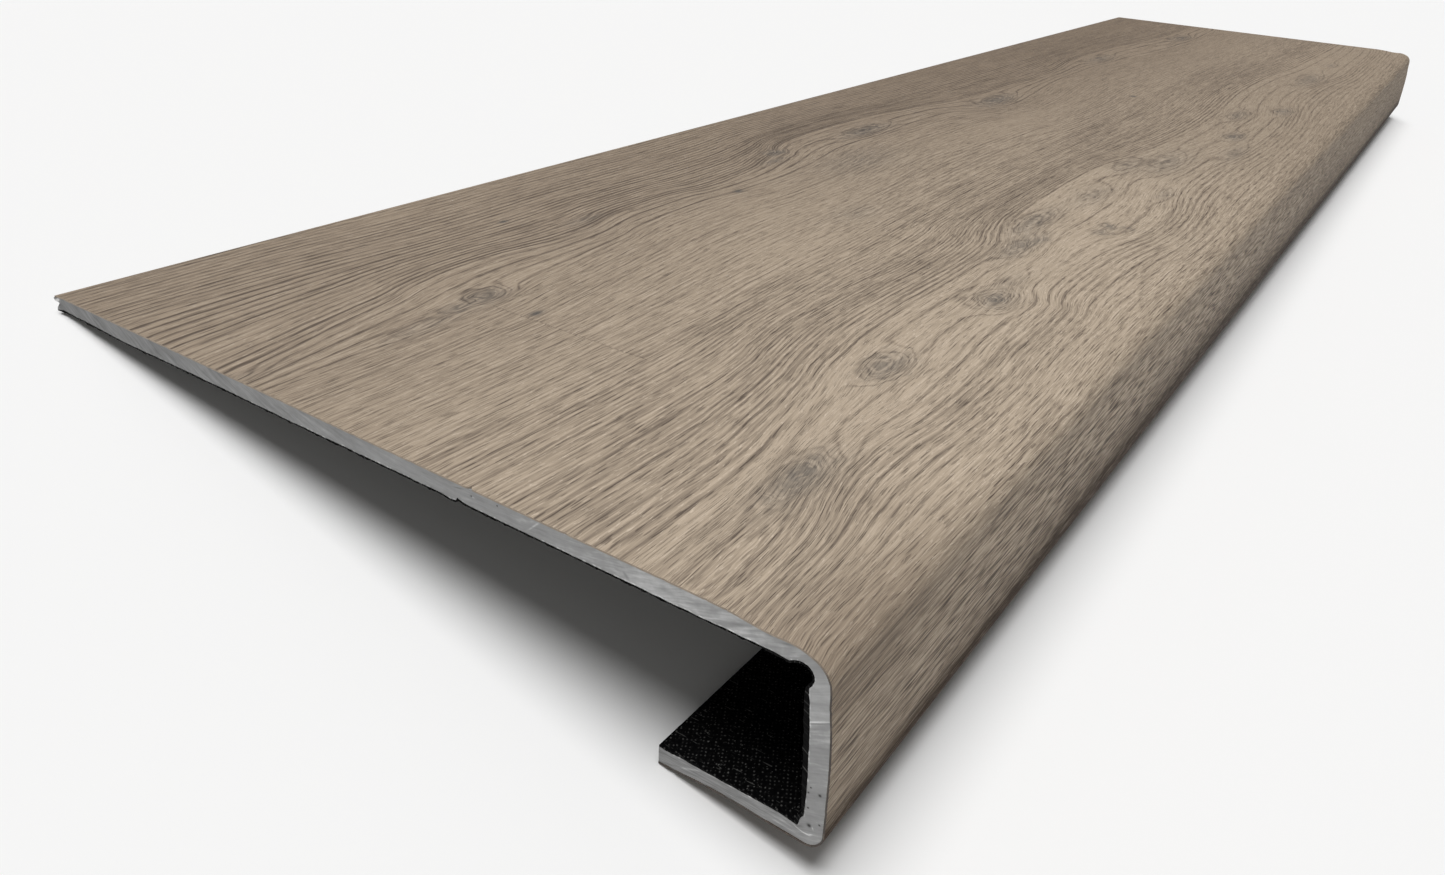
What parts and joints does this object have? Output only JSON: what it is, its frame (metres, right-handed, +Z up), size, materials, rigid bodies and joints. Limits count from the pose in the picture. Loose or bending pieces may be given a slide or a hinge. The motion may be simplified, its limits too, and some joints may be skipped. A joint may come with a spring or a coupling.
{
  "type": "stair tread",
  "caption": "Long stair tread cap of rigid vinyl with a wood-look face, folded into a rounded nosing, a front and a return flap.",
  "frame": {"origin": "on the floor, under the middle of the tread's level box as it lies at rest on its back edge and return flap", "axes": "+X along the tread, away from the cut end that the picture shows; nose towards -Y, back edge towards +Y; +Z up"},
  "size_m": [1.2, 0.307, 0.0607],
  "materials": {
    "core": "grey filled rigid vinyl, sawn across at the ends with fine slanting saw marks",
    "wear_layer": "matt embossed greige oak print with cathedral grain and small knots, under a clear wear coat",
    "backing": "near-black, fine woven emboss"
  },
  "bodies": {
    "root": {"vinyl_core": "core", "wood_wear_layer": "wear_layer", "backing_layer": "backing"}
  },
  "joints": []
}
